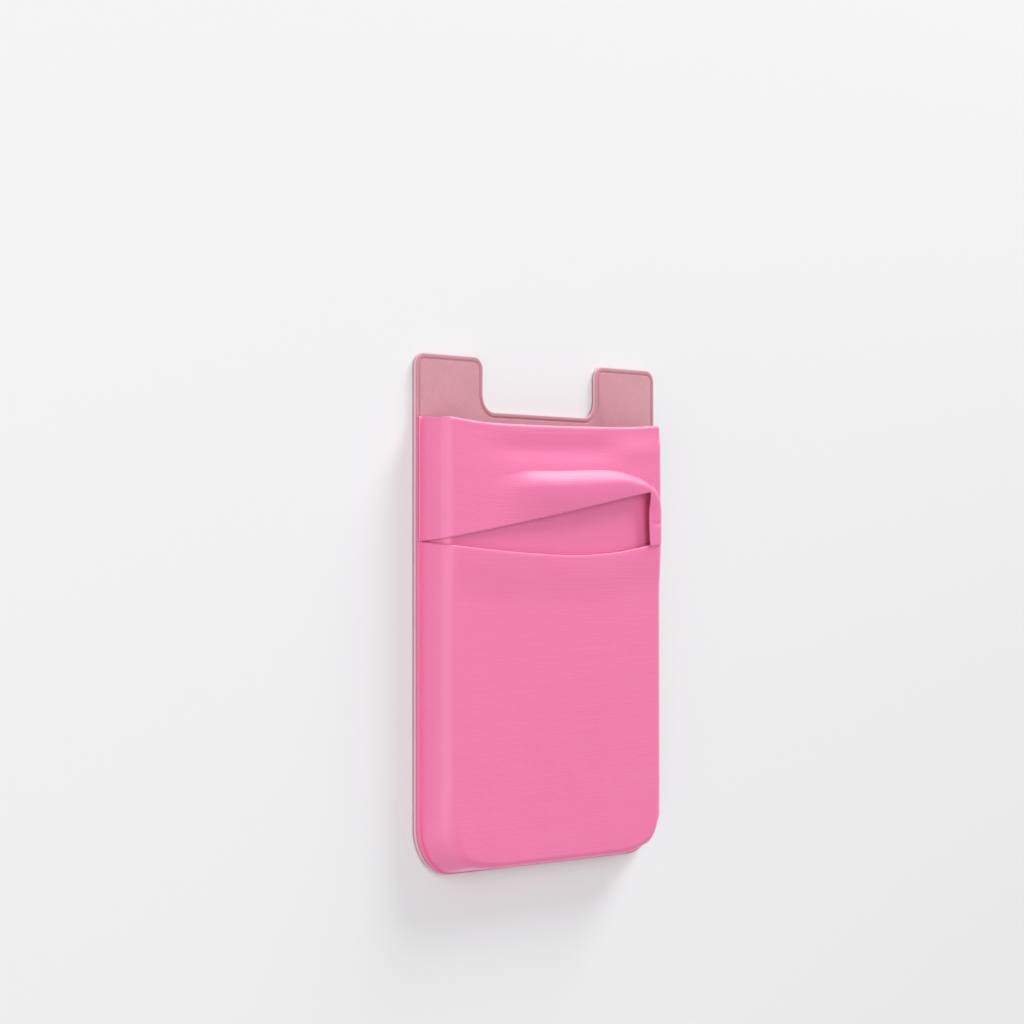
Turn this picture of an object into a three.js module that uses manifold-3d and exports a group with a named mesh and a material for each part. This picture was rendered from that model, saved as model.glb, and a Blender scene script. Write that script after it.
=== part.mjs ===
// A stretch-cloth card holder that sticks to a flat surface by its back.
// Millimetres. X runs across the holder, Y up it towards the ears, Z out of the stuck face.
// The origin is the middle of the stuck face.

import * as THREE from 'three';
import { mergeVertices } from 'three/addons/utils/BufferGeometryUtils.js';
import Module from 'manifold-3d';

const wasm = await Module();
wasm.setup();

// Backing panel and adhesive sheet
const baseWidth = 62.5;
const baseHeight = 84;
const baseThickness = 0.65;
const lowerCornerRadius = 8;
const earWidth = 16.4;
const earHeight = 8.9;
const earCornerRadius = 2;
const notchCornerRadius = 3;
const notchAboveMouth = 1.6;
const adhesiveThickness = 0.3;
const adhesiveInset = 0.8;
const grooveInset = 0.5;
const grooveWidth = 0.5;
const grooveDepth = 0.2;
const leastCornerRadius = 0.1;

// Stretch cloth
const clothThickness = 0.4;
const clothInset = 0.1;
const seamWidth = 0.75;
const lowerSeamWidth = 0.25;
const layerGap = 0.3;
const foldGap = 0.12;
const rimMargin = 0.9;
const cardRoom = 4.15;

// The walls round the cards: each slopes at an angle, in degrees, and has a round shoulder
const leftWallAngle = 75;
const leftShoulderRadius = 2.2;
const rightWallAngle = 47.5;
const rightShoulderRadius = 2.5;
const lowerWallAngle = 82;
const lowerShoulderRadius = 1;
const cornerWallAngle = 48;
const cornerShoulderGain = 2;
const cornerReach = 14;

// The band turned down over the mouth ends in a slit, below which the front pocket's mouth begins
const bandDepth = 19.7;
const slitSideGap = 0.3;
const bandLift = 8.7;
const edgeStart = -1.03;
const edgeApex = 0.704;
const edgeDropWidth = 1.6;
const pocketStandOff = 0.5;
const pocketStandOffDepth = 9;

// The band stands off a little more to the right
const bandStandOff = 0.5;
const bandStandOffDepth = 8.6;
const leftStandOffShare = 0.35;
const standOffStart = -0.9;
const standOffEnd = 0.3;
const foldFade = 8.5;

// The long fold across the band, steeper above its crest than below, and the hollow over it
const foldHeight = 1.2;
const foldBelowMouth = 8.4;
const foldRise = 2;
const foldCrest = 1;
const foldFall = 3.8;
const hollowDepth = 0.5;
const hollowWidth = 2;
const hollowBelowMouth = 3;

// The lines of the mouth and of the front pocket's mouth: share of the half width, and rise
const mouthLine = [
  [-1, 0], [-0.92, 0], [-0.7, -0.7], [-0.5, -0.95], [-0.05, -0.85], [0.54, -0.4], [0.8, 0.1], [1, 0.3],
];
const pocketLine = [
  [-1, -0.35], [-0.92, -0.65], [-0.62, -1.3], [-0.3, -1.9], [0.08, -2.25], [0.44, -1.8], [0.66, -1],
  [0.86, -0.15], [1, 0],
];

// Mesh steps
const arcSegments = 8;
const lineSamples = 120;
const cornerSteps = 8;
const columnSteps = 22;
const apexSteps = 6;
const sideSteps = 12;
const bandSteps = 14;
const shoulderSteps = 4;
const foldSteps = 4;

// Derived levels and outlines
const halfWidth = baseWidth / 2;
const lowerEdge = -baseHeight / 2;
const baseTop = adhesiveThickness + baseThickness;
const mouthY = baseHeight / 2 - earHeight - notchAboveMouth;
const slitY = mouthY - bandDepth;
const clothHalfWidth = halfWidth - clothInset;
const clothCornerRadius = lowerCornerRadius - clothInset;
const layerStep = clothThickness + layerGap;
const cornerHalfWidth = halfWidth - lowerCornerRadius;
const cornerFoot = lowerEdge + lowerCornerRadius;
const panelLevel = baseTop + cardRoom + clothThickness / 2;
const panelSeamLevel = baseTop + clothThickness / 2;
const outerLevel = panelLevel + layerStep;
const outerSeamLevel = panelSeamLevel + clothThickness;

const clamp = (value, low, high) => Math.min(Math.max(value, low), high);
const mix = (a, b, share) => a + (b - a) * share;
const ease = (share) => THREE.MathUtils.smoothstep(share, 0, 1);
const span = (low, high, steps) => Array.from({ length: steps + 1 }, (_, i) => mix(low, high, i / steps));
const bell = (offset, width) => Math.exp(-((offset / width) ** 2));

// A closed outline of straight lines with its corners rounded: each corner is [x, y, radius].
function roundedOutline(corners) {
  const shape = new THREE.Shape();
  corners.forEach(([x, y, radius], i) => {
    const corner = new THREE.Vector2(x, y);
    const before = corners[(i + corners.length - 1) % corners.length];
    const after = corners[(i + 1) % corners.length];
    const inward = new THREE.Vector2(before[0], before[1]).sub(corner).normalize();
    const outward = new THREE.Vector2(after[0], after[1]).sub(corner).normalize();
    const centre = corner.clone().addScaledVector(inward, radius).addScaledVector(outward, radius);
    const from = centre.clone().addScaledVector(outward, -radius);
    const to = centre.clone().addScaledVector(inward, -radius);
    const clockwise = inward.cross(outward) > 0;
    shape.absarc(
      centre.x,
      centre.y,
      radius,
      from.sub(centre).angle(),
      to.sub(centre).angle(),
      clockwise,
    );
  });
  shape.closePath();
  return shape;
}

// The holder's outline drawn a given distance inside its edge, with the ears and the notch between them.
function holderOutline(inset) {
  const side = halfWidth - inset;
  const top = baseHeight / 2 - inset;
  const foot = lowerEdge + inset;
  const notchSide = halfWidth - earWidth + inset;
  const notchFloor = mouthY + notchAboveMouth - inset;
  const outer = Math.max(lowerCornerRadius - inset, leastCornerRadius);
  const ear = Math.max(earCornerRadius - inset, leastCornerRadius);
  const notch = notchCornerRadius + inset;
  return roundedOutline([
    [-side, foot, outer],
    [side, foot, outer],
    [side, top, ear],
    [notchSide, top, ear],
    [notchSide, notchFloor, notch],
    [-notchSide, notchFloor, notch],
    [-notchSide, top, ear],
    [-side, top, ear],
  ]);
}

function extrude(shape, depth) {
  return new THREE.ExtrudeGeometry(shape, { depth, bevelEnabled: false, curveSegments: arcSegments });
}

// A three.js geometry as a boolean solid, and back.
function toSolid(geometry) {
  const bare = geometry.clone();
  bare.deleteAttribute('normal');
  bare.deleteAttribute('uv');
  const merged = mergeVertices(bare, 1e-4);
  return new wasm.Manifold(new wasm.Mesh({
    numProp: 3,
    vertProperties: new Float32Array(merged.attributes.position.array),
    triVerts: new Uint32Array(merged.index.array),
  }));
}

function toGeometry(solid) {
  const mesh = solid.getMesh();
  const geometry = new THREE.BufferGeometry();
  geometry.setAttribute('position', new THREE.BufferAttribute(new Float32Array(mesh.vertProperties), 3));
  geometry.setIndex(new THREE.BufferAttribute(new Uint32Array(mesh.triVerts), 1));
  geometry.computeVertexNormals();
  return geometry;
}

// The backing panel: a flat plate with a line pressed into its top all round, just inside the edge.
function backingPanel() {
  const plate = toSolid(extrude(holderOutline(0), baseThickness).translate(0, 0, adhesiveThickness));
  const ring = holderOutline(grooveInset);
  ring.holes.push(holderOutline(grooveInset + grooveWidth));
  const groove = toSolid(extrude(ring, baseThickness).translate(0, 0, baseTop - grooveDepth));
  return toGeometry(plate.subtract(groove));
}

const adhesiveSheet = () => extrude(holderOutline(adhesiveInset), adhesiveThickness);

// A smooth line through [share of the half width, rise] points, as its rise at a place across the holder.
function riseAlong(points) {
  const curve = new THREE.SplineCurve(points.map(([share, rise]) => new THREE.Vector2(share, rise)));
  const samples = curve.getPoints(lineSamples);
  return (x) => {
    const share = clamp(x / halfWidth, -1, 1);
    const i = clamp(samples.findIndex((point) => point.x >= share), 1, samples.length - 1);
    const [a, b] = [samples[i - 1], samples[i]];
    return mix(a.y, b.y, clamp((share - a.x) / (b.x - a.x), 0, 1));
  };
}

const mouthRise = riseAlong(mouthLine);
const pocketRise = riseAlong(pocketLine);
const mouthAt = (x) => mouthY + mouthRise(x);
const pocketMouthAt = (x) => slitY - slitSideGap / 2 + pocketRise(x);

// The band's free edge climbs in a straight line to its apex, then drops to the front pocket's mouth.
function bandEdgeAt(x) {
  const [start, apex] = [edgeStart * halfWidth, edgeApex * halfWidth];
  const climbing = slitY + slitSideGap / 2 + bandLift * clamp((x - start) / (apex - start), 0, 1);
  return mix(climbing, pocketMouthAt(x) + slitSideGap, ease((x - apex) / edgeDropWidth));
}

// Level of each layer's middle where it lies over the cards.
const rearPanelLevel = () => panelLevel;

function frontPanelLevel(x, y) {
  const belowMouth = pocketMouthAt(x) - y;
  const middle = ease((clothHalfWidth - Math.abs(x)) / rimDepth);
  return outerLevel + pocketStandOff * middle * ease(1 - belowMouth / pocketStandOffDepth);
}

function bandLevel(x, y) {
  const belowMouth = mouthAt(x) - y;
  const rightward = ease((x / halfWidth - standOffStart) / (standOffEnd - standOffStart));
  const inboard = ease((clothHalfWidth - Math.abs(x)) / foldFade);
  const standOff = bandStandOff * ease(belowMouth / bandStandOffDepth) * mix(leftStandOffShare, 1, rightward);
  const pastFold = belowMouth - foldBelowMouth;
  const climb = ease((pastFold + foldRise) / (foldRise + foldCrest));
  const fold = foldHeight * rightward * climb * bell(Math.max(pastFold - foldCrest, 0), foldFall);
  const hollow = hollowDepth * rightward * bell(belowMouth - hollowBelowMouth, hollowWidth);
  return outerLevel + inboard * (standOff + fold - hollow * ease(belowMouth / hollowBelowMouth));
}

// The wall's section: a seam lying flat, then a straight slope that a round shoulder joins to the level
// over the cards. It gives [distance in from the cloth's edge, share of the height] for each line of
// the rim. An inner layer is the outer one moved inwards by the step along its normal.
function wallSection(stop, step) {
  const rightward = (stop.side + 1) / 2;
  const sideAngle = mix(leftWallAngle, rightWallAngle, rightward);
  const sideRadius = mix(leftShoulderRadius, rightShoulderRadius, rightward);
  const plainAngle = mix(sideAngle, lowerWallAngle, stop.low);
  const angle = THREE.MathUtils.degToRad(mix(plainAngle, cornerWallAngle, stop.bend));
  const radius = mix(sideRadius, lowerShoulderRadius, stop.low) + cornerShoulderGain * stop.bend - step;
  const height = step > 0 ? panelLevel - panelSeamLevel : outerLevel - outerSeamLevel;
  const seam = mix(seamWidth, lowerSeamWidth, stop.low);
  const drop = step > 0 ? outerSeamLevel - panelSeamLevel : 0;
  const foot = seam + (step - drop * Math.cos(angle)) / Math.sin(angle);
  const climb = height - radius * (1 - Math.cos(angle));
  const shoulderStart = foot + climb / Math.tan(angle);
  const shoulder = span(angle, 0, shoulderSteps).map((turn) => [
    shoulderStart + radius * (Math.sin(angle) - Math.sin(turn)),
    1 - (radius / height) * (1 - Math.cos(turn)),
  ]);
  return [[0, 0], [foot, 0], ...shoulder];
}

const sideWallDepth = (side) => wallSection({ side, low: 0, bend: 0 }, 0).at(-1)[0];
const rimDepth = Math.max(sideWallDepth(-1), sideWallDepth(1)) + rimMargin;
const fieldHalfWidth = clothHalfWidth - rimDepth;

// The stops of the pocket's rim: down the left side, round the foot and up the right side.
// Each stop joins a point of the cloth's edge to a point of the field's border. share is how far it
// is up the side, low how far it has turned from a side (0) to the foot (1), and bend fades from 1
// with the distance along the edge from the middle of the nearer corner.
function rimStops(topAt) {
  const stops = [];
  const halfArc = (clothCornerRadius * Math.PI) / 4;
  const add = (side, share, low, past, edge, border) => {
    stops.push({ side, share, low, bend: ease(1 - past / cornerReach), edge, border, topAt });
  };
  const addSide = (side, share) => add(
    side,
    share,
    0,
    halfArc + share * (mouthY - cornerFoot),
    new THREE.Vector2(side * clothHalfWidth, cornerFoot),
    new THREE.Vector2(side * fieldHalfWidth, cornerFoot),
  );
  const addCorner = (side, turn) => {
    const edge = new THREE.Vector2(side * Math.cos(turn), -Math.sin(turn)).multiplyScalar(clothCornerRadius);
    edge.add(new THREE.Vector2(side * cornerHalfWidth, cornerFoot));
    const past = Math.abs(turn - Math.PI / 4) * clothCornerRadius;
    const border = new THREE.Vector2(side * fieldHalfWidth, cornerFoot);
    add(side, 0, ease(turn / (Math.PI / 2)), past, edge, border);
  };
  const addFoot = (x) => {
    const edge = new THREE.Vector2(x * (cornerHalfWidth / fieldHalfWidth), lowerEdge + clothInset);
    const past = halfArc + cornerHalfWidth - Math.abs(edge.x);
    add(x / fieldHalfWidth, 0, 1, past, edge, new THREE.Vector2(x, cornerFoot));
  };
  span(1, 0, sideSteps).forEach((share) => addSide(-1, share));
  span(0, Math.PI / 2, cornerSteps).forEach((turn) => addCorner(-1, turn));
  columns().slice(1, -1).forEach(addFoot);
  span(Math.PI / 2, 0, cornerSteps).forEach((turn) => addCorner(1, turn));
  span(0, 1, sideSteps).forEach((share) => addSide(1, share));
  return stops;
}

// Stations across the flat field, closer together where the band's edge drops.
function columns() {
  const turn = edgeApex * halfWidth;
  return [...span(-fieldHalfWidth, turn, columnSteps), ...span(turn, fieldHalfWidth, apexSteps).slice(1)];
}

// One line of rim points from the cloth's edge in to the field's border, at one stop of the rim.
function rimLine(stop, step, seamLevel, levelAt) {
  const length = stop.edge.distanceTo(stop.border);
  const places = wallSection(stop, step).map(([inward, share]) => [inward / length, share]);
  return [...places, [1, 1]].map(([inward, share]) => {
    const x = mix(stop.edge.x, stop.border.x, inward);
    const foot = mix(stop.edge.y, stop.border.y, inward);
    const y = mix(foot, stop.topAt(x), stop.share);
    return new THREE.Vector3(x, y, mix(seamLevel, levelAt(x, y), clamp(share, 0, 1)));
  });
}

// A pocket panel: a rim carried round three sides, and the field that it closes.
function pocketPanel(step, seamLevel, levelAt, topAt) {
  const rim = rimStops(topAt).map((stop) => rimLine(stop, step, seamLevel, levelAt));
  const field = span(0, 1, sideSteps).map((share) => columns().map((x) => {
    const y = mix(cornerFoot, topAt(x), share);
    return new THREE.Vector3(x, y, levelAt(x, y));
  }));
  return [{ rows: rim, flip: true }, { rows: field, flip: false }];
}

// Stations right across the cloth, as the mouth meets them: left rim, field, right rim.
function acrossStations(step) {
  const sides = (side) => wallSection({ side, low: 0, bend: 0 }, step).map(([inward, share]) => ({
    x: side * (clothHalfWidth - inward),
    share: clamp(share, 0, 1),
  }));
  return [
    ...sides(-1),
    ...columns().map((x) => ({ x, share: 1 })),
    ...sides(1).reverse(),
  ];
}

// The band: the rear panel's cloth rolls over at the mouth and hangs down in front to its free edge.
function foldedBand() {
  const inner = acrossStations(layerStep);
  const outer = acrossStations(0);
  const lines = inner.map((from, i) => {
    const to = outer[i];
    const mouth = mouthAt(from.x);
    const low = mix(panelSeamLevel, rearPanelLevel(), from.share);
    const seamHigh = outerSeamLevel + foldGap;
    const highAt = (y) => mix(seamHigh, bandLevel(to.x, y), to.share);
    const high = mix(seamHigh, bandLevel(to.x, mouthAt(to.x)), to.share);
    const radius = (high - low) / 2;
    const roll = span(0, Math.PI, foldSteps).map((turn) => new THREE.Vector3(
      mix(from.x, to.x, (1 - Math.cos(turn)) / 2),
      mix(mouth, mouthAt(to.x), (1 - Math.cos(turn)) / 2) + radius * Math.sin(turn),
      mix(low, high, (1 - Math.cos(turn)) / 2),
    ));
    const hanging = span(mouthAt(to.x), bandEdgeAt(to.x), bandSteps).slice(1).map((y) => (
      new THREE.Vector3(to.x, y, highAt(y))
    ));
    return [...roll, ...hanging];
  });
  return { rows: lines, flip: true };
}

// Grids of points joined into one open surface with shared vertices.
function weldedSurface(grids) {
  const positions = [];
  for (const { rows, flip } of grids) {
    for (let i = 1; i < rows.length; i += 1) {
      for (let j = 1; j < rows[i].length; j += 1) {
        const [a, b, c, d] = [rows[i - 1][j - 1], rows[i - 1][j], rows[i][j], rows[i][j - 1]];
        const triangles = flip ? [a, b, c, a, c, d] : [a, c, b, a, d, c];
        triangles.forEach((point) => positions.push(point.x, point.y, point.z));
      }
    }
  }
  const geometry = new THREE.BufferGeometry();
  geometry.setAttribute('position', new THREE.Float32BufferAttribute(positions, 3));
  const welded = mergeVertices(geometry, 1e-3);
  const index = Array.from(welded.index.array);
  const kept = [];
  for (let i = 0; i < index.length; i += 3) {
    const [a, b, c] = index.slice(i, i + 3);
    if (a !== b && b !== c && c !== a) kept.push(a, b, c);
  }
  welded.setIndex(kept);
  welded.computeVertexNormals();
  return welded;
}

// Cloth of a given thickness laid half to each side of a surface, closed along its free edges.
function thicken(surface, thickness) {
  const { position, normal } = surface.attributes;
  const count = position.count;
  const points = [];
  for (const side of [0.5, -0.5]) {
    for (let i = 0; i < count; i += 1) {
      const point = new THREE.Vector3().fromBufferAttribute(position, i);
      point.addScaledVector(new THREE.Vector3().fromBufferAttribute(normal, i), side * thickness);
      points.push(point.x, point.y, point.z);
    }
  }
  const index = Array.from(surface.index.array);
  const edges = new Set();
  const faces = [];
  for (let i = 0; i < index.length; i += 3) {
    const [a, b, c] = index.slice(i, i + 3);
    faces.push(a, b, c, count + a, count + c, count + b);
    edges.add(`${a} ${b}`).add(`${b} ${c}`).add(`${c} ${a}`);
  }
  for (const edge of edges) {
    const [a, b] = edge.split(' ').map(Number);
    if (!edges.has(`${b} ${a}`)) faces.push(b, a, count + a, b, count + a, count + b);
  }
  const solid = new THREE.BufferGeometry();
  solid.setAttribute('position', new THREE.Float32BufferAttribute(points, 3));
  solid.setIndex(faces);
  solid.computeVertexNormals();
  return solid;
}

function rearPocketCloth() {
  const panel = pocketPanel(layerStep, panelSeamLevel, rearPanelLevel, mouthAt);
  return thicken(weldedSurface([...panel, foldedBand()]), clothThickness);
}

function frontPocketCloth() {
  const panel = pocketPanel(0, outerSeamLevel, frontPanelLevel, pocketMouthAt);
  return thicken(weldedSurface(panel), clothThickness);
}

const finish = (color, roughness) => new THREE.MeshStandardMaterial({ color, roughness, metalness: 0 });

function part(name, geometry, material) {
  const mesh = new THREE.Mesh(geometry, material);
  mesh.name = name;
  return mesh;
}

const holder = new THREE.Group();
holder.add(
  part('adhesive_sheet', adhesiveSheet(), finish(0xe9e6e2, 0.45)),
  part('backing_panel', backingPanel(), finish(0xd69ba8, 0.8)),
  part('rear_pocket_cloth', rearPocketCloth(), finish(0xef7cab, 0.7)),
  part('front_pocket_cloth', frontPocketCloth(), finish(0xef7cab, 0.7)),
);

export default holder;
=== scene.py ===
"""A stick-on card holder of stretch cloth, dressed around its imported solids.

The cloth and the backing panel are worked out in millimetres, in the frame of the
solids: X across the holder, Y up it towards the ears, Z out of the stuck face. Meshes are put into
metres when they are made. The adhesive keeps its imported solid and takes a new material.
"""

import math

import bpy
import numpy as np
from mathutils import Matrix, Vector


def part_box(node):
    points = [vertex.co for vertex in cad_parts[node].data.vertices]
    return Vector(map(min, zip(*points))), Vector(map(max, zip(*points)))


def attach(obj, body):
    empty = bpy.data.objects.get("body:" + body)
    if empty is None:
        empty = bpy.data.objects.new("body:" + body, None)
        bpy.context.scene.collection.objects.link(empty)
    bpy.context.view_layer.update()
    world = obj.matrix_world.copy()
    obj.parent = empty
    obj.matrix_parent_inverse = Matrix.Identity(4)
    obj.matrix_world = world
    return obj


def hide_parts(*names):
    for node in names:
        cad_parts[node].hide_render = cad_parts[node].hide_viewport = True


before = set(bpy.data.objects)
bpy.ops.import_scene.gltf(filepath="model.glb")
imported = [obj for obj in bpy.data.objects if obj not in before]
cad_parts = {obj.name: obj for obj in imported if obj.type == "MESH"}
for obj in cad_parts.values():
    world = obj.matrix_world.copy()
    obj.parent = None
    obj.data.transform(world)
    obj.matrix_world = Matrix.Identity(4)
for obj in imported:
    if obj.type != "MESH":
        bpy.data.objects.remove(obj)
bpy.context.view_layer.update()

MM = 0.001

# The backing panel, from its solid
PANEL_LOW, PANEL_HIGH = (np.array(corner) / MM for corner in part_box("backing_panel"))
HALF_WIDTH = (PANEL_HIGH[0] - PANEL_LOW[0]) / 2
LOWER_EDGE, UPPER_EDGE = PANEL_LOW[1], PANEL_HIGH[1]
PANEL_UNDER, PANEL_TOP = PANEL_LOW[2], PANEL_HIGH[2]
LOWER_CORNER = 8.0
EAR_WIDTH = 16.4
EAR_HEIGHT = 8.9
EAR_CORNER = 2.0
NOTCH_CORNER = 3.0
NOTCH_ABOVE_MOUTH = 1.6
GROOVE_INSET = 0.5
GROOVE_WIDTH = 0.5
GROOVE_DEPTH = 0.2
EDGE_ROUND = 0.2

# The cloth
CLOTH = 0.4
SEAM_CLOTH = 0.26
CLOTH_INSET = 0.1
SEAM_WIDTH = 0.75
LOWER_SEAM_WIDTH = 0.25
SEAM_LINE_DEPTH = 0.1
SEAM_LINE_WIDTH = 0.13
FOOT_FILLET = 0.16
LAYER_STEP = 0.7
FOLD_GAP = 0.12
POCKET_ROOM = 4.15
RIM_MARGIN = 0.9

# The walls round the pockets: slope in degrees, and radius of the shoulder
LEFT_ANGLE, LEFT_SHOULDER = 75.0, 2.2
RIGHT_ANGLE, RIGHT_SHOULDER = 47.5, 2.5
FOOT_ANGLE, FOOT_SHOULDER = 82.0, 1.0
CORNER_ANGLES = 67.0, 48.0
CORNER_SHOULDER = 1.0
CORNER_REACH = 13.0

# The mouth, the slit below it and the lines of its two edges: share of the half width, and rise
MOUTH = UPPER_EDGE - EAR_HEIGHT - NOTCH_ABOVE_MOUTH
BAND_DEPTH = 19.7
SLIT = MOUTH - BAND_DEPTH
MOUTH_LINE = [
    (-1, 0), (-0.9, -0.28), (-0.7, -0.78), (-0.5, -0.95), (-0.05, -0.85),
    (0.54, -0.4), (0.8, 0.1), (1, 0.3),
]
POCKET_LINE = [
    (-1, 0), (-0.88, -0.55), (-0.6, -1.3), (-0.3, -1.9), (0.06, -2.25),
    (0.38, -1.8), (0.58, -1.0), (0.76, -0.15), (1, 0),
]
POCKET_STAND_OFF = 0.5
POCKET_STAND_OFF_DEPTH = 9.0
EDGE_APEX = 0.704 * HALF_WIDTH
EDGE_DROP = 0.8
EDGE_LIFT = 8.9
EDGE_SAG = 0.45
SLIT_GAP = 0.16

# The band's folds: a long one that bends down the right side, and the hollow under the mouth
FOLD_PATH = [
    (-24, 20.6), (-16, 21.9), (-9.5, 22.7), (-1.7, 22.9), (9, 23.3), (14.5, 23.1), (20, 22.1),
    (22.7, 21.1), (24.7, 19.7), (25.7, 16.8), (25.9, 11),
]
FOLD_HEIGHT = 1.25
# Each pair is the fold's value where it starts and where it is drawn in, or has turned down
FOLD_UP = 0.7, 0.6
FOLD_CREST = 1.8, 0.6
FOLD_DOWN = 5.0, 3.4
FOLD_DOWN_TURNED = 4.4
FOLD_SHARE = 1.0, 0.8
FOLD_SHARE_TURNED = 1.0, 0.55
FOLD_SOFTNESS = 0.45
# Where each change starts along the fold, from 0 to 1, and the length that it takes
FOLD_RISE = 0.03, 0.25
FOLD_TIGHT = 0.35, 0.3
FOLD_TURN = 0.7, 0.3
HOLLOW_DEPTH = 0.42
HOLLOW_BELOW_MOUTH = 3.6
HOLLOW_WIDTH = 1.8
HOLLOW_START, HOLLOW_FULL = -24, -10
HOLLOW_CLEAR = 1.5
BULGE_START, BULGE_FULL, BULGE_SHARE = 7, 19, 1.6
BAND_STAND_OFF = 0.5
BAND_STAND_OFF_DEPTH = 8.6
BAND_STAND_OFF_LEFT = 0.35
BAND_FADE = 8.5
TUCK_PLACE = (24.3, 15.2)
TUCK_DEPTH = 0.16
TUCK_WIDTH, TUCK_HEIGHT = 1.3, 0.45

# The knit's pitch each way, and the length that is 1 on the flat cloth's map
WALE_PITCH = 0.36
COURSE_PITCH = 0.30
MAP_UNIT = 100
SCRIM_PITCH = 0.9

# Colours, as they look (red, green, blue from 0 to 1)
CLOTH_PINK = (0.935, 0.475, 0.662)
CLOTH_DEEP = (0.905, 0.425, 0.62)
SUEDE_PINK = (0.80, 0.59, 0.63)
SUEDE_DARK = (0.72, 0.48, 0.53)
# The panel's side edge: a paler colour painted as a highlight, for the light that the side catches
SUEDE_EDGE_PAINTED_HIGHLIGHT = (0.92, 0.70, 0.76)
ADHESIVE_PALE = (0.86, 0.85, 0.82)
FLOOR_PALE = (0.90, 0.90, 0.905)

PANEL_LEVEL = PANEL_TOP + POCKET_ROOM + CLOTH / 2
PANEL_SEAM = PANEL_TOP + SEAM_CLOTH / 2
OUTER_LEVEL = PANEL_LEVEL + LAYER_STEP
OUTER_SEAM = PANEL_SEAM + SEAM_CLOTH + 0.02
CLOTH_HALF = HALF_WIDTH - CLOTH_INSET
CORNER_HALF = HALF_WIDTH - LOWER_CORNER
CORNER_FOOT = LOWER_EDGE + LOWER_CORNER
CORNER_RADIUS = LOWER_CORNER - CLOTH_INSET
FIELD_FOOT = CORNER_FOOT


def mix(a, b, share):
    """a + (b - a) * share."""
    return a + (b - a) * share


def ease(share):
    """A smooth step: 3 s^2 - 2 s^3, with s held between 0 and 1."""
    s = np.clip(share, 0, 1)
    return s * s * (3 - 2 * s)


def bell(offset, width):
    """A bell of height 1: e to the power of -(offset / width) squared."""
    return np.exp(-((offset / width) ** 2))


def linear(colour):
    """A colour as it looks, in the linear values that shaders take."""
    c = np.array(colour, float)
    return tuple(np.where(c <= 0.04045, c / 12.92, ((c + 0.055) / 1.055) ** 2.4)) + (1.0,)


def smooth_path(points, count):
    """A uniform Catmull-Rom curve through the points, as count points along it."""
    p = np.array(points, float)
    last = len(p) - 1
    t = np.linspace(0, last, count)
    i = np.minimum(t.astype(int), last - 1)
    w = (t - i)[:, None]
    p0, p1 = p[np.maximum(i - 1, 0)], p[i]
    p2, p3 = p[i + 1], p[np.minimum(i + 2, last)]
    a, b, c = p2 - p0, 2 * p0 - 5 * p1 + 4 * p2 - p3, 3 * p1 - p0 - 3 * p2 + p3
    return 0.5 * (2 * p1 + a * w + b * w**2 + c * w**3)


MOUTH_CURVE = smooth_path(MOUTH_LINE, 400)
POCKET_CURVE = smooth_path(POCKET_LINE, 400)
FOLD_CURVE = smooth_path(FOLD_PATH, 700)
FOLD_RUN = np.gradient(FOLD_CURVE, axis=0)
FOLD_RUN /= np.linalg.norm(FOLD_RUN, axis=1)[:, None]


def wall_shape(side, low, bend):
    """Slope and shoulder radius of the wall, between a side's values, the foot's and a corner's."""
    rightward = (side + 1) / 2
    angle = mix(mix(LEFT_ANGLE, RIGHT_ANGLE, rightward), FOOT_ANGLE, low)
    angle = mix(angle, mix(*CORNER_ANGLES, rightward), bend)
    radius = mix(mix(LEFT_SHOULDER, RIGHT_SHOULDER, rightward), FOOT_SHOULDER, low)
    return math.radians(angle), radius + CORNER_SHOULDER * bend


def wall_section(side, low, bend, step):
    """The rim's section: [inward, share of the height, pressed, depth of the pressed line].

    A seam lies flat, a straight wall climbs, and an arc joins it to the pocket's flat face. The
    inner layer, with a step, is the outer one moved in by the step along its normal.
    side runs from -1, left, to 1, right; low from 0 at a side to 1 at the foot; bend is 1 in the
    middle of a corner.
    """
    angle, radius = wall_shape(side, low, bend)
    radius -= step
    height = (PANEL_LEVEL - PANEL_SEAM) if step else (OUTER_LEVEL - OUTER_SEAM)
    foot = mix(SEAM_WIDTH, LOWER_SEAM_WIDTH, low)
    if step:
        foot += (step - (OUTER_SEAM - PANEL_SEAM) * math.cos(angle)) / math.sin(angle)
    climb = height - radius * (1 - math.cos(angle))
    run = climb / math.tan(angle)
    fillet = np.linspace(0, 1, 6)
    flat = np.linspace(0, 1, 12)[:-1] * (foot - FOOT_FILLET)
    bend_in = foot - FOOT_FILLET * (1 - fillet) ** 2 + FOOT_FILLET * math.cos(angle) * fillet**2
    bend_up = FOOT_FILLET * math.sin(angle) * fillet**2
    straight = np.linspace(0, 1, 7)[1:]
    wall_in = mix(bend_in[-1], foot + run, straight)
    wall_up = mix(bend_up[-1], climb, straight)
    turn = np.linspace(angle, 0, 14)[1:]
    arc_in = foot + run + radius * (math.sin(angle) - np.sin(turn))
    arc_up = height - radius * (1 - np.cos(turn))
    inward = np.concatenate([flat, bend_in, wall_in, arc_in])
    share = np.concatenate([0 * flat, bend_up, wall_up, arc_up]) / height
    pressed = 1 - ease((inward - foot) / 0.5)
    line = SEAM_LINE_DEPTH * (1 - low + 2.0 * bend) * bell(inward - foot + 0.12, SEAM_LINE_WIDTH)
    return np.stack([inward, share, pressed, line])


WIDEST_WALL = max(wall_section(side, 0, 0, 0)[0, -1] for side in (-1, 1))
FIELD_HALF = CLOTH_HALF - WIDEST_WALL - RIM_MARGIN
RIM_DEPTH = CLOTH_HALF - FIELD_HALF


def wall_cloth(side, low):
    """The wall's places inward from the cloth's edge, and the cloth's length from each to its top."""
    section = wall_section(side, low, 0, 0)
    rise = section[1] * (OUTER_LEVEL - OUTER_SEAM)
    steps = np.hypot(np.diff(section[0]), np.diff(rise))
    return section[0], np.append(np.cumsum(steps[::-1])[::-1], 0)


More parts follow.
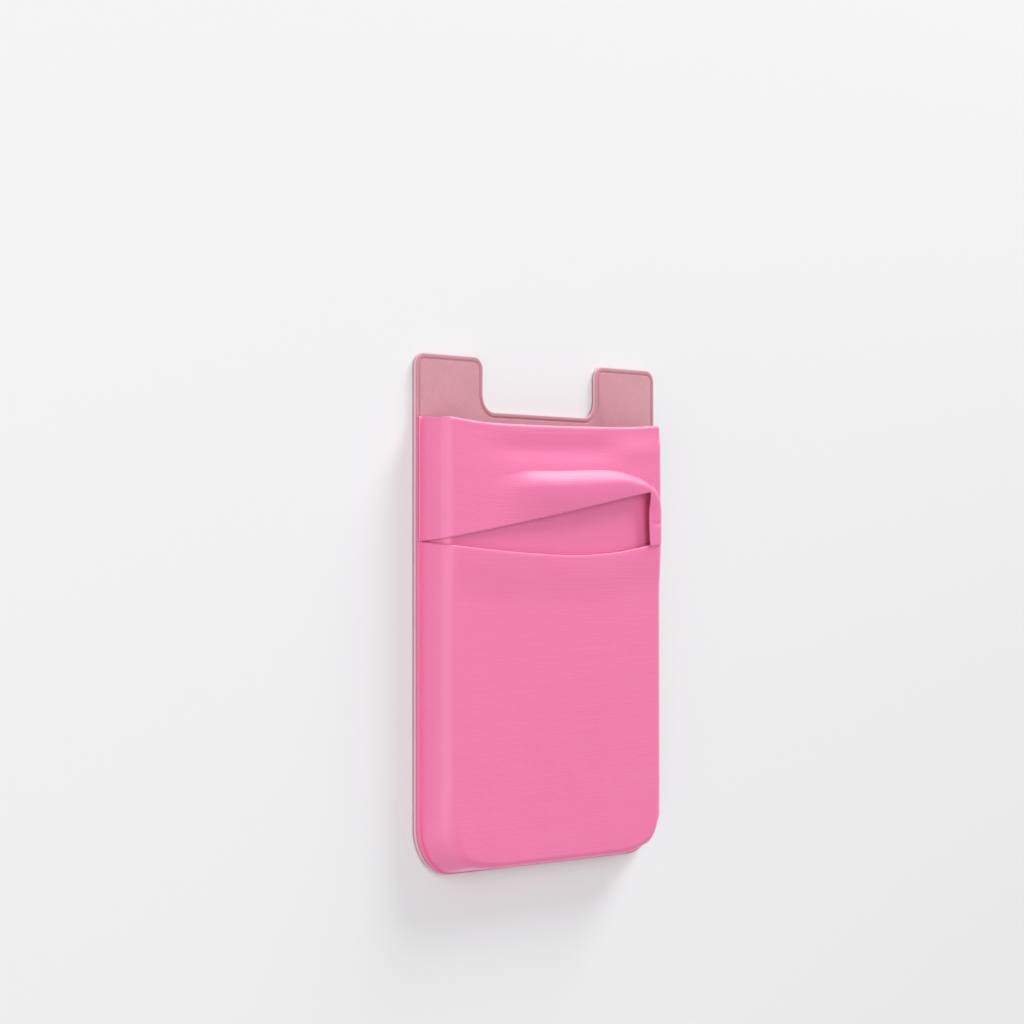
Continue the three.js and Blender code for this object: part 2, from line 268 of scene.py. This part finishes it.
def unrolled(x):
    """Place across the flat cloth of a place across the holder: a wall takes more than its width."""
    widths, lengths = [], []
    for side in (-1, 1):
        inward, to_top = wall_cloth(side, 0)
        widths.append(side * (CLOTH_HALF - inward))
        lengths.append(side * (CLOTH_HALF - inward[-1] + to_top))
    widths = np.concatenate([widths[0], widths[1][::-1]])
    lengths = np.concatenate([lengths[0], lengths[1][::-1]])
    return np.interp(x, widths, lengths)


UNROLLED_LEFT, UNROLLED_RIGHT = unrolled(-CLOTH_HALF), unrolled(CLOTH_HALF)


def mouth_at(x):
    """Height of the mouth across the holder, read off its smooth line."""
    return MOUTH + np.interp(np.asarray(x) / HALF_WIDTH, MOUTH_CURVE[:, 0], MOUTH_CURVE[:, 1])


def pocket_mouth_at(x):
    """Height of the front pocket's mouth, which sags between the side seams."""
    place = unrolled(x)
    share = place / np.where(place < 0, -UNROLLED_LEFT, UNROLLED_RIGHT)
    sag = np.interp(share, POCKET_CURVE[:, 0], POCKET_CURVE[:, 1])
    return SLIT - SLIT_GAP / 2 + np.minimum(sag, 0)


def band_edge_at(x):
    """The band's free edge: a climb that sags a little, then a drop to the pocket's mouth."""
    climb = (np.minimum(unrolled(x), EDGE_APEX) - UNROLLED_LEFT) / (EDGE_APEX - UNROLLED_LEFT)
    edge = SLIT + SLIT_GAP / 2 + EDGE_LIFT * climb - EDGE_SAG * np.sin(math.pi * climb) * (1 - climb)
    return mix(edge, pocket_mouth_at(x) + SLIT_GAP, ease((x - EDGE_APEX) / EDGE_DROP))


def panel_level(x, y):
    """The rear panel lies flat at the height of the pocket's room."""
    return np.full(np.broadcast(x, y).shape, PANEL_LEVEL)


def pocket_level(x, y):
    """Middle of the front pocket's cloth: it stands off towards its mouth, and sags a little below."""
    below = pocket_mouth_at(x) - y
    inboard = ease((CLOTH_HALF - np.abs(x)) / RIM_DEPTH)
    off = POCKET_STAND_OFF * inboard * ease(1 - below / POCKET_STAND_OFF_DEPTH)
    slack = 0.12 * np.sin(x / 9.0 + 0.6) * np.sin(y / 13.0 + 1.1) * inboard * ease(below / 12)
    return OUTER_LEVEL + off + slack


def fold_relief(x, y):
    """The long fold's height, from the signed distance d to its path, positive above it.

    The cloth climbs from a crease at d = up to the crest at d = -crest, steepest at the crease, as
    s (2 - s) softened by a smooth step, and falls away below the crest as a bell. Its height and
    widths change along the path.
    """
    flat_x, flat_y = np.ravel(x), np.ravel(y)
    off_x = flat_x[:, None] - FOLD_CURVE[:, 0]
    off_y = flat_y[:, None] - FOLD_CURVE[:, 1]
    nearest = np.hypot(off_x, off_y).argmin(axis=1)
    rows = np.arange(len(flat_x))
    run = FOLD_RUN[nearest]
    away = run[:, 0] * off_y[rows, nearest] - run[:, 1] * off_x[rows, nearest]
    # Along the path from 0 to 1: the fold rises, draws in, then turns down the right side.
    along = nearest / (len(FOLD_CURVE) - 1)
    rise, tight, turned = (
        ease((along - start) / length) for start, length in (FOLD_RISE, FOLD_TIGHT, FOLD_TURN)
    )
    up, crest = mix(*FOLD_UP, tight), mix(*FOLD_CREST, tight)
    down = mix(mix(*FOLD_DOWN, tight), FOLD_DOWN_TURNED, turned)
    height = rise * mix(*FOLD_SHARE, tight) * mix(*FOLD_SHARE_TURNED, turned)
    climb = np.clip((up - away) / (up + crest), 0, 1)
    climb = mix(climb * (2 - climb), ease(climb), FOLD_SOFTNESS)
    relief = height * climb * bell(np.minimum(away + crest, 0), down)
    return FOLD_HEIGHT * relief.reshape(np.shape(x))


def band_level(x, y):
    """Middle of the band: a stand-off that grows below the mouth, the long fold, and a hollow.

    The hollow follows the mouth, and turns into a bulge towards the right.
    """
    x, y = np.broadcast_arrays(x, y)
    below = mouth_at(x) - y
    rightward = ease((x / HALF_WIDTH + 0.9) / 1.2)
    inboard = ease((CLOTH_HALF - np.abs(x)) / BAND_FADE)
    stand = BAND_STAND_OFF * mix(BAND_STAND_OFF_LEFT, 1, rightward)
    stand = stand * ease(below / BAND_STAND_OFF_DEPTH)
    hollow = ease((x - HOLLOW_START) / (HOLLOW_FULL - HOLLOW_START))
    bulge = BULGE_SHARE * ease((x - BULGE_START) / (BULGE_FULL - BULGE_START))
    dip = bell(below - HOLLOW_BELOW_MOUTH, HOLLOW_WIDTH) * ease(below / HOLLOW_CLEAR)
    hollow = HOLLOW_DEPTH * (hollow - bulge) * dip
    off_x, off_y = (x - TUCK_PLACE[0]) / TUCK_WIDTH, (y - TUCK_PLACE[1]) / TUCK_HEIGHT
    tuck = TUCK_DEPTH * bell(np.hypot(off_x, off_y), 1)
    return OUTER_LEVEL + inboard * (stand + fold_relief(x, y) - hollow) - tuck


def columns(step=0.36, fine=0.05):
    """Stations across the field, set close together where the band's edge drops."""
    turn, end = EDGE_APEX - 0.5, min(EDGE_APEX + EDGE_DROP + 0.2, FIELD_HALF)
    count, fine_count = round((turn + FIELD_HALF) / step), round((end - turn) / fine)
    return np.unique(np.concatenate([
        np.linspace(-FIELD_HALF, turn, count), np.linspace(turn, end, fine_count), [FIELD_HALF],
    ]))


def rim_stops(rows):
    """The rim's stops: down the left side, round the foot and up the right side.

    Each stop has the cloth's edge point, the field's border point, side, low, bend and share up.
    bend fades with the distance along the edge from the middle of the corner.
    """
    half_arc = CORNER_RADIUS * math.pi / 4

    def bend(distance):
        return ease(1 - distance / CORNER_REACH)

    def side_stop(side, share):
        past = half_arc + share * (MOUTH - FIELD_FOOT)
        edge, border = side * CLOTH_HALF, side * FIELD_HALF
        return (edge, FIELD_FOOT, border, FIELD_FOOT, side, 0, bend(past), share)

    def corner_stop(side, turn):
        x = side * (CORNER_HALF + CORNER_RADIUS * math.cos(turn))
        y = CORNER_FOOT - CORNER_RADIUS * math.sin(turn)
        past = abs(turn - math.pi / 4) * CORNER_RADIUS
        return (x, y, side * FIELD_HALF, FIELD_FOOT, side, ease(turn * 2 / math.pi), bend(past), 0)

    def foot_stop(x):
        foot_x = x * CORNER_HALF / FIELD_HALF
        past = half_arc + CORNER_HALF - abs(foot_x)
        return (foot_x, LOWER_EDGE + CLOTH_INSET, x, FIELD_FOOT, x / FIELD_HALF, 1, bend(past), 0)

    up = np.linspace(0, 1, rows)
    turns = np.linspace(0, math.pi / 2, 34)
    return [
        *(side_stop(-1, share) for share in up[::-1]),
        *(corner_stop(-1, turn) for turn in turns),
        *(foot_stop(x) for x in columns()[1:-1]),
        *(corner_stop(1, turn) for turn in turns[::-1]),
        *(side_stop(1, share) for share in up),
    ]


def rim_grid(rows, step, seam_level, level_at, top_at):
    """The rim as a grid of points with their pressed share and their place in the flat cloth."""
    points, press, flat = [], [], []
    for ex, ey, bx, by, side, low, bend, share_up in rim_stops(rows):
        length = math.hypot(bx - ex, by - ey)
        inward, share, pressed, line = wall_section(side, low, bend, step)
        inward = np.append(inward, [mix(inward[-1], length, 0.5), length])
        share, line = np.append(share, [1, 1]), np.append(line, [0, 0])
        pressed = np.append(pressed, [0, 0])
        x = mix(ex, bx, inward / length)
        foot = mix(ey, by, inward / length)
        y = mix(foot, top_at(x), share_up)
        laid = np.stack([x, y, mix(seam_level, level_at(x, y), share) - line], 1)
        reach = np.append(np.cumsum(np.linalg.norm(np.diff(laid[::-1], axis=0), axis=1))[::-1], 0)
        out = np.array([ex - bx, ey - by]) / length
        points.append(laid)
        press.append(pressed)
        flat.append(laid[-1, :2] + reach[:, None] * out)
    return np.array(points), np.array(press), np.array(flat)


def field_grid(rows, level_at, top_at):
    """The flat field inside the rim, row by row up to the mouth."""
    x = np.broadcast_to(columns(), (rows, len(columns())))
    y = mix(FIELD_FOOT, top_at(x), np.linspace(0, 1, rows)[:, None])
    points = np.stack([x, y, level_at(x, y)], 2)
    return points, np.zeros(x.shape), points[..., :2].copy()


def across(step):
    """Stations right across the cloth at its mouth: x, share of the height, pressed, line."""
    sides = []
    for side in (-1, 1):
        section = wall_section(side, 0, 0, step)
        outer = np.array([mix(section[0, -1], RIM_DEPTH, 0.5), 1, 0, 0])
        section = np.column_stack([section, outer])
        section[0] = side * (CLOTH_HALF - section[0])
        sides.append(section)
    plain = columns()
    middle = np.stack([plain, 1 + 0 * plain, 0 * plain, 0 * plain])
    return np.concatenate([sides[0], middle, sides[1][:, ::-1]], axis=1)


def band_grid(roll_steps, hang_steps):
    """The band: half a turn over the mouth, then down in front to its free edge."""
    x0, share0, press0, line0 = across(LAYER_STEP)
    x1, share1, press1, line1 = across(0)
    low = mix(PANEL_SEAM, PANEL_LEVEL, share0) - line0

    def high(y):
        return mix(OUTER_SEAM + FOLD_GAP, band_level(x1, y), share1) - line1

    top = mouth_at(x1)
    radius = (high(top) - low) / 2
    rows, press, flat = [], [], []
    for turn in np.linspace(0, math.pi, roll_steps):
        half = (1 - math.cos(turn)) / 2
        x = mix(x0, x1, half)
        y = mix(mouth_at(x0), top, half) + radius * math.sin(turn)
        rows.append(np.stack([x, y, mix(low, high(top), half)], 1))
        press.append(mix(press0, press1, half))
        flat.append(np.stack([x, mouth_at(x0) + radius * turn], 1))
    for share in np.linspace(0, 1, hang_steps)[1:]:
        y = mix(top, band_edge_at(x1), share)
        rows.append(np.stack([x1, y, high(y)], 1))
        press.append(press1)
        flat.append(np.stack([x1, mouth_at(x0) + radius * math.pi + top - y], 1))
    return np.array(rows), np.array(press), np.array(flat)


def grid_faces(shape, start, flip):
    """Two triangles for each cell of a grid whose first point has the number start."""
    number = np.arange(shape[0] * shape[1]).reshape(shape) + start
    a, b = number[:-1, :-1].ravel(), number[:-1, 1:].ravel()
    c, d = number[1:, 1:].ravel(), number[1:, :-1].ravel()
    if flip:
        b, d = d, b
    return np.concatenate([np.stack([a, b, c], 1), np.stack([a, c, d], 1)])


def welded(grids):
    """Grids joined into one surface: points closer than a hundredth of a millimetre become one."""
    points, values, faces, start = [], [], [], 0
    for grid, press, flat, flip in grids:
        points.append(grid.reshape(-1, 3))
        values.append(np.concatenate([press.reshape(-1, 1), flat.reshape(-1, 2)], axis=1))
        faces.append(grid_faces(grid.shape[:2], start, flip))
        start += grid.shape[0] * grid.shape[1]
    points, values, faces = np.concatenate(points), np.concatenate(values), np.concatenate(faces)
    near = np.round(points, 2)
    first, number = np.unique(near, axis=0, return_index=True, return_inverse=True)[1:]
    faces = number.ravel()[faces]
    whole = (faces[:, 0] != faces[:, 1]) & (faces[:, 1] != faces[:, 2]) & (faces[:, 2] != faces[:, 0])
    return points[first], values[first], faces[whole]


def corner_normals(points, faces):
    """Vertex normals: the sum of the face normals around each point, made one long."""
    a, b, c = points[faces[:, 0]], points[faces[:, 1]], points[faces[:, 2]]
    face = np.cross(b - a, c - a)
    normals = np.zeros_like(points)
    for k in range(3):
        np.add.at(normals, faces[:, k], face)
    return normals / np.maximum(np.linalg.norm(normals, axis=1), 1e-12)[:, None]


def thickened(points, faces, thickness, round_steps=5):
    """A sheet given its thickness, half to each side, with half-round free edges.

    Round an edge a point is p + (n cos a + o sin a) t / 2, where n is the normal, o the way out of
    the sheet and a runs from 0 to half a turn.
    """
    normals = corner_normals(points, faces)
    half = thickness[:, None] / 2
    count = len(points)
    edges = np.concatenate([faces[:, [0, 1]], faces[:, [1, 2]], faces[:, [2, 0]]])
    forward = edges[:, 0].astype(np.int64) * count + edges[:, 1]
    back = edges[:, 1].astype(np.int64) * count + edges[:, 0]
    free = edges[~np.isin(forward, back)]
    out = np.zeros_like(points)
    run = points[free[:, 1]] - points[free[:, 0]]
    for k in range(2):
        np.add.at(out, free[:, k], np.cross(run, normals[free[:, k]]))
    rim = np.unique(free)
    out[rim] /= np.maximum(np.linalg.norm(out[rim], axis=1), 1e-12)[:, None]
    place = np.full(count, -1)
    place[rim] = np.arange(len(rim))
    sheets = [points + normals * half, points - normals * half]
    rings = [rim]
    for k in range(1, round_steps):
        a = math.pi * k / round_steps
        arc = normals[rim] * math.cos(a) + out[rim] * math.sin(a)
        rings.append(2 * count + (k - 1) * len(rim) + np.arange(len(rim)))
        sheets.append(points[rim] + arc * half[rim])
    rings.append(rim + count)
    sides = []
    start, end = place[free[:, 0]], place[free[:, 1]]
    for near, far in zip(rings[:-1], rings[1:]):
        sides.append(np.stack([near[end], near[start], far[start]], 1))
        sides.append(np.stack([near[end], far[start], far[end]], 1))
    all_faces = np.concatenate([faces, faces[:, ::-1] + count, *sides])
    source = np.concatenate([np.arange(count), np.arange(count), *[rim] * (round_steps - 1)])
    return np.concatenate(sheets), all_faces, source


def make_mesh(name, points, faces, flat=None, sharp=50):
    """A mesh object from points in millimetres and triangles, with the flat cloth as its UV map."""
    mesh = bpy.data.meshes.new(name)
    mesh.from_pydata((points * MM).tolist(), [], faces.tolist())
    if flat is not None:
        loops = np.zeros(len(mesh.loops), np.int32)
        mesh.loops.foreach_get("vertex_index", loops)
        layer = mesh.uv_layers.new(name="flat_cloth")
        layer.data.foreach_set("uv", (flat[loops] / MAP_UNIT).astype(np.float32).ravel())
    mesh.shade_smooth()
    mesh.set_sharp_from_angle(angle=math.radians(sharp))
    mesh.update()
    piece = bpy.data.objects.new(name, mesh)
    bpy.context.scene.collection.objects.link(piece)
    return piece


def cloth_piece(name, grids):
    """A piece of cloth from its grids, thinner where it is pressed."""
    points, values, faces = welded(grids)
    solid, all_faces, source = thickened(points, faces, mix(CLOTH, SEAM_CLOTH, values[:, 0]))
    return make_mesh(name, solid, all_faces, values[source, 1:])


def rear_pocket_fabric():
    """The rear panel, rolled over at the mouth into the band that hangs in front."""
    rim = rim_grid(70, LAYER_STEP, PANEL_SEAM, panel_level, mouth_at)
    field = field_grid(70, panel_level, mouth_at)
    band = band_grid(10, 92)
    return cloth_piece("rear_pocket_fabric", [(*rim, True), (*field, False), (*band, False)])


def front_pocket_fabric():
    """The front pocket's panel, open at its mouth."""
    rim = rim_grid(100, 0, OUTER_SEAM, pocket_level, pocket_mouth_at)
    field = field_grid(100, pocket_level, pocket_mouth_at)
    return cloth_piece("front_pocket_fabric", [(*rim, True), (*field, False)])


def rounded_outline(corners, arc_points):
    """A closed outline whose corners [x, y, radius] are arcs, with arc_points on each."""
    outline = []
    for i, (x, y, radius) in enumerate(corners):
        corner = np.array([x, y])
        before = np.array(corners[i - 1][:2]) - corner
        after = np.array(corners[(i + 1) % len(corners)][:2]) - corner
        before, after = before / np.linalg.norm(before), after / np.linalg.norm(after)
        centre = corner + (before + after) * radius
        a = np.linspace(0, math.pi / 2, arc_points)[:, None]
        outline.append(centre - radius * (np.cos(a) * after + np.sin(a) * before))
    return np.concatenate(outline)


def panel_outline(inset):
    """The backing panel's outline drawn inset inside its edge, as many points whatever the inset."""
    side, notch = HALF_WIDTH - inset, HALF_WIDTH - EAR_WIDTH + inset
    top, foot = UPPER_EDGE - inset, LOWER_EDGE + inset
    floor = MOUTH + NOTCH_ABOVE_MOUTH - inset
    lower, ear = max(LOWER_CORNER - inset, 0.1), max(EAR_CORNER - inset, 0.1)
    inner = NOTCH_CORNER + inset
    return rounded_outline([
        (-side, foot, lower), (side, foot, lower), (side, top, ear), (notch, top, ear),
        (notch, floor, inner), (-notch, floor, inner), (-notch, top, ear), (-side, top, ear),
    ], 20)


def panel_section():
    """The panel's edge as (inset, height): up the side, over a round edge, across the groove."""
    turn = np.linspace(0, math.pi / 2, 6)
    under = [(EDGE_ROUND * 0.4, PANEL_UNDER), (0, PANEL_UNDER + EDGE_ROUND * 0.4)]
    over = [
        (EDGE_ROUND * (1 - math.cos(a)), PANEL_TOP - EDGE_ROUND * (1 - math.sin(a))) for a in turn
    ]
    place = np.linspace(-1, 1, 13)
    inset = GROOVE_INSET + GROOVE_WIDTH * (place + 1) / 2
    height = PANEL_TOP - GROOVE_DEPTH * np.cos(place * math.pi / 2) ** 2
    return under + over + list(zip(inset, height))


def backing_panel_suede():
    """The panel: rings of its outline carried up its edge and over the groove, closed flat."""
    rings = []
    for inset, height in panel_section():
        outline = panel_outline(inset)
        rings.append(np.column_stack([outline, np.full(len(outline), height)]))
    points = np.concatenate(rings)
    count = len(rings[0])
    grid = np.arange(len(points)).reshape(len(rings), count)
    grid = np.concatenate([grid, grid[:, :1]], axis=1)
    a, b = grid[:-1, :-1].ravel(), grid[:-1, 1:].ravel()
    c, d = grid[1:, 1:].ravel(), grid[1:, :-1].ravel()
    quads = np.stack([a, b, c, d], 1).tolist()
    caps = [grid[-1, :-1].tolist(), grid[0, -2::-1].tolist()]
    mesh = bpy.data.meshes.new("backing_panel_suede")
    mesh.from_pydata((points * MM).tolist(), [], quads + caps)
    mesh.shade_smooth()
    mesh.set_sharp_from_angle(angle=math.radians(40))
    piece = bpy.data.objects.new("backing_panel_suede", mesh)
    bpy.context.scene.collection.objects.link(piece)
    return piece


def new_material(name):
    """An empty material with its shader and output; returns it, its nodes, its links and the shader."""
    material = bpy.data.materials.new(name)
    material.use_nodes = True
    nodes, links = material.node_tree.nodes, material.node_tree.links
    nodes.clear()
    output = nodes.new("ShaderNodeOutputMaterial")
    shader = nodes.new("ShaderNodeBsdfPrincipled")
    links.new(shader.outputs["BSDF"], output.inputs["Surface"])
    return material, nodes, links, shader


def math_node(nodes, links, operation, first, second=None):
    """A maths node of one or two inputs, each a socket or a number."""
    node = nodes.new("ShaderNodeMath")
    node.operation = operation
    for socket, value in zip(node.inputs, (first, second)):
        if value is None:
            continue
        if isinstance(value, (int, float)):
            socket.default_value = value
        else:
            links.new(value, socket)
    return node.outputs[0]


def noise(nodes, links, vector, scale, detail, stretch=(1, 1, 1)):
    """Noise read at a place stretched along the axes."""
    mapping = nodes.new("ShaderNodeMapping")
    mapping.inputs["Scale"].default_value = stretch
    links.new(vector, mapping.inputs["Vector"])
    texture = nodes.new("ShaderNodeTexNoise")
    texture.inputs["Scale"].default_value = scale
    texture.inputs["Detail"].default_value = detail
    links.new(mapping.outputs[0], texture.inputs["Vector"])
    return texture.outputs["Fac"]


def colour_between(nodes, links, factor, low, high):
    """A colour mixed from low to high by a factor socket."""
    node = nodes.new("ShaderNodeMix")
    node.data_type = "RGBA"
    links.new(factor, node.inputs["Factor"])
    node.inputs["A"].default_value = linear(low)
    node.inputs["B"].default_value = linear(high)
    return node.outputs["Result"]


def bump(nodes, links, height, strength, distance, under=None):
    """A bump from a height socket, over another bump's normal if one is given."""
    node = nodes.new("ShaderNodeBump")
    node.inputs["Strength"].default_value = strength
    node.inputs["Distance"].default_value = distance
    links.new(height, node.inputs["Height"])
    if under is not None:
        links.new(under, node.inputs["Normal"])
    return node.outputs["Normal"]


def knit_material():
    """Fine stretch knit: courses and wales of loops, faint streaks across, a soft sheen."""
    material, nodes, links, shader = new_material("stretch_knit_pink")
    uv = nodes.new("ShaderNodeUVMap")
    uv.uv_map = "flat_cloth"
    place = nodes.new("ShaderNodeSeparateXYZ")
    links.new(uv.outputs["UV"], place.inputs["Vector"])
    turn = 2 * math.pi * MAP_UNIT
    wale = math_node(nodes, links, "MULTIPLY", place.outputs["X"], turn / WALE_PITCH)
    wale_wave = math_node(nodes, links, "SINE", wale)
    lean = math_node(nodes, links, "ABSOLUTE", wale_wave)
    lean = math_node(nodes, links, "MULTIPLY", lean, 1.4)
    course = math_node(nodes, links, "MULTIPLY", place.outputs["Y"], turn / COURSE_PITCH)
    course = math_node(nodes, links, "ADD", course, lean)
    course_wave = math_node(nodes, links, "SINE", course)
    loops = math_node(nodes, links, "MULTIPLY", course_wave, 0.5)
    loops = math_node(nodes, links, "ADD", loops, math_node(nodes, links, "MULTIPLY", wale_wave, 0.3))
    streaks = noise(nodes, links, uv.outputs["UV"], 100, 3, (0.06, 2.2, 1))
    clouds = noise(nodes, links, uv.outputs["UV"], 9, 2)
    shade = math_node(nodes, links, "MULTIPLY", streaks, 0.55)
    shade = math_node(nodes, links, "ADD", shade, math_node(nodes, links, "MULTIPLY", clouds, 0.45))
    shade = math_node(nodes, links, "ADD", shade, math_node(nodes, links, "MULTIPLY", loops, 0.10))
    links.new(colour_between(nodes, links, shade, CLOTH_DEEP, CLOTH_PINK), shader.inputs["Base Color"])
    rough = math_node(nodes, links, "MULTIPLY", streaks, 0.12)
    links.new(math_node(nodes, links, "ADD", rough, 0.41), shader.inputs["Roughness"])
    fine = bump(nodes, links, loops, 0.35, 0.00004)
    links.new(bump(nodes, links, streaks, 0.25, 0.00008, fine), shader.inputs["Normal"])
    shader.inputs["Specular IOR Level"].default_value = 0.85
    shader.inputs["Sheen Weight"].default_value = 0.7
    shader.inputs["Sheen Roughness"].default_value = 0.3
    shader.inputs["Sheen Tint"].default_value = (1.0, 0.85, 0.92, 1.0)
    return material


def suede_material():
    """Dusty suede: speckled nap on the face, a soft sheen, and a painted highlight on the side edge."""
    material, nodes, links, shader = new_material("suede_dusty_pink")
    coords = nodes.new("ShaderNodeTexCoord").outputs["Object"]
    nap = noise(nodes, links, coords, 2600, 4)
    cloud = noise(nodes, links, coords, 260, 3)
    shade = math_node(nodes, links, "MULTIPLY", nap, 0.7)
    shade = math_node(nodes, links, "ADD", shade, math_node(nodes, links, "MULTIPLY", cloud, 0.3))
    face = colour_between(nodes, links, shade, SUEDE_DARK, SUEDE_PINK)
    # Painted highlight: the upright side faces below the panel's top take a paler colour, for the light
    # they catch
    split = nodes.new("ShaderNodeSeparateXYZ")
    links.new(coords, split.inputs["Vector"])
    edge = nodes.new("ShaderNodeMapRange")
    edge.inputs["From Min"].default_value = (PANEL_TOP - 0.12) * MM
    edge.inputs["From Max"].default_value = (PANEL_TOP - 0.2) * MM
    links.new(split.outputs["Z"], edge.inputs["Value"])
    normal = nodes.new("ShaderNodeNewGeometry")
    facing = nodes.new("ShaderNodeSeparateXYZ")
    links.new(normal.outputs["True Normal"], facing.inputs["Vector"])
    upright = math_node(nodes, links, "LESS_THAN", facing.outputs["Z"], 0.3)
    painted_edge_highlight = math_node(nodes, links, "MULTIPLY", edge.outputs[0], upright)
    face_with_painted_edge = nodes.new("ShaderNodeMix")
    face_with_painted_edge.data_type = "RGBA"
    links.new(painted_edge_highlight, face_with_painted_edge.inputs["Factor"])
    links.new(face, face_with_painted_edge.inputs["A"])
    face_with_painted_edge.inputs["B"].default_value = linear(SUEDE_EDGE_PAINTED_HIGHLIGHT)
    links.new(face_with_painted_edge.outputs["Result"], shader.inputs["Base Color"])
    rough = math_node(nodes, links, "MULTIPLY", nap, 0.15)
    links.new(math_node(nodes, links, "ADD", rough, 0.75), shader.inputs["Roughness"])
    links.new(bump(nodes, links, nap, 0.5, 0.00008), shader.inputs["Normal"])
    shader.inputs["Specular IOR Level"].default_value = 0.2
    shader.inputs["Sheen Weight"].default_value = 0.25
    shader.inputs["Sheen Roughness"].default_value = 0.5
    shader.inputs["Sheen Tint"].default_value = (1.0, 0.85, 0.88, 1.0)
    return material


def adhesive_material():
    """Tacky film over a fine scrim: pale, a little glossy, with a faint mesh of threads."""
    material, nodes, links, shader = new_material("adhesive_film")
    coords = nodes.new("ShaderNodeTexCoord").outputs["Object"]
    split = nodes.new("ShaderNodeSeparateXYZ")
    links.new(coords, split.inputs["Vector"])
    turns = 2 * math.pi / (SCRIM_PITCH * MM)
    wave_x = math_node(nodes, links, "MULTIPLY", split.outputs["X"], turns)
    wave_y = math_node(nodes, links, "MULTIPLY", split.outputs["Y"], turns)
    wave_x, wave_y = (math_node(nodes, links, "SINE", wave) for wave in (wave_x, wave_y))
    scrim = math_node(nodes, links, "MAXIMUM", wave_x, wave_y)
    cloud = noise(nodes, links, coords, 180, 3)
    shade = math_node(nodes, links, "ADD", math_node(nodes, links, "MULTIPLY", scrim, 0.12), cloud)
    pale = tuple(0.93 * c for c in ADHESIVE_PALE)
    links.new(colour_between(nodes, links, shade, pale, ADHESIVE_PALE), shader.inputs["Base Color"])
    rough = math_node(nodes, links, "MULTIPLY", cloud, 0.2)
    links.new(math_node(nodes, links, "ADD", rough, 0.22), shader.inputs["Roughness"])
    links.new(bump(nodes, links, scrim, 0.3, 0.00003), shader.inputs["Normal"])
    return material


def floor_material():
    """A pale matt floor."""
    material, nodes, links, shader = new_material("pale_floor")
    coords = nodes.new("ShaderNodeTexCoord").outputs["Object"]
    cloud = noise(nodes, links, coords, 3, 2)
    low = tuple(0.995 * c for c in FLOOR_PALE)
    links.new(colour_between(nodes, links, cloud, low, FLOOR_PALE), shader.inputs["Base Color"])
    shader.inputs["Roughness"].default_value = 0.9
    shader.inputs["Specular IOR Level"].default_value = 0.1
    return material


def area_light(name, place, aim, size, power):
    """A soft square lamp at place that points at aim, in metres and watts."""
    data = bpy.data.lights.new(name, "AREA")
    data.shape = "SQUARE"
    data.size = size
    data.energy = power
    lamp = bpy.data.objects.new(name, data)
    lamp.location = place
    way = np.array(aim) - np.array(place)
    yaw = math.atan2(way[1], way[0])
    fall = math.atan2(math.hypot(way[0], way[1]), -way[2])
    lamp.rotation_euler = (fall, 0, yaw - math.pi / 2)
    bpy.context.scene.collection.objects.link(lamp)


def make_camera():
    """The photograph's view: 50 degrees to the left of the face's normal, with the holder upright."""
    turn = math.radians(50)
    right = (math.cos(turn), 0, math.sin(turn))
    up = (0, 1, 0)
    back = (-math.sin(turn), 0, math.cos(turn))
    focal_pixels, picture_pixels, horizon_below_middle = 3037, 1024, 55
    data = bpy.data.cameras.new("camera")
    data.sensor_width = 36
    data.lens = focal_pixels / picture_pixels * data.sensor_width
    data.shift_y = horizon_below_middle / picture_pixels
    data.clip_start, data.clip_end = 0.01, 20
    camera = bpy.data.objects.new("camera", data)
    place = (-393.3, 7.7, 324.7)
    rows = [(right[i], up[i], back[i], place[i] * MM) for i in range(3)]
    camera.matrix_world = Matrix(rows + [(0, 0, 0, 1)])
    bpy.context.scene.collection.objects.link(camera)
    bpy.context.scene.camera = camera


def make_stage():
    """The floor that the holder lies on, the world and the lamps."""
    scene = bpy.context.scene
    scene.view_settings.view_transform = "Standard"
    size = 3.0
    mesh = bpy.data.meshes.new("floor")
    corners = [(-size, -size, 0), (size, -size, 0), (size, size, 0), (-size, size, 0)]
    mesh.from_pydata(corners, [], [(0, 1, 2, 3)])
    floor = bpy.data.objects.new("floor", mesh)
    scene.collection.objects.link(floor)
    mesh.materials.append(floor_material())
    world = bpy.data.worlds.new("soft_world")
    scene.world = world
    world.use_nodes = True
    background = world.node_tree.nodes["Background"]
    background.inputs["Color"].default_value = (1, 1, 1, 1)
    background.inputs["Strength"].default_value = 0.37
    area_light("top_lamp", (0.65, 0.95, 0.36), (0, 0, 0), 0.5, 12.2)
    area_light("front_lamp", (-0.35, 0.25, 1.1), (0, 0, 0), 0.9, 6.2)
    area_light("side_lamp", (-1.1, -0.3, 0.62), (0, 0, 0), 1.1, 6.2)


make_camera()
make_stage()

knit = knit_material()
suede = suede_material()
adhesive = adhesive_material()

rear_fabric = rear_pocket_fabric()
front_fabric = front_pocket_fabric()
panel = backing_panel_suede()

for piece, node, slot, material in (
    (rear_fabric, "rear_pocket_cloth", "cloth", knit),
    (front_fabric, "front_pocket_cloth", "cloth", knit),
    (panel, "backing_panel", "backing", suede),
):
    piece.data.materials.append(material)
    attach(piece, "root")
    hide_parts(node)

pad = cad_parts["adhesive_sheet"]
pad.data.materials.clear()
pad.data.materials.append(adhesive)

foot_inward, foot_cloth = wall_cloth(0, 1)
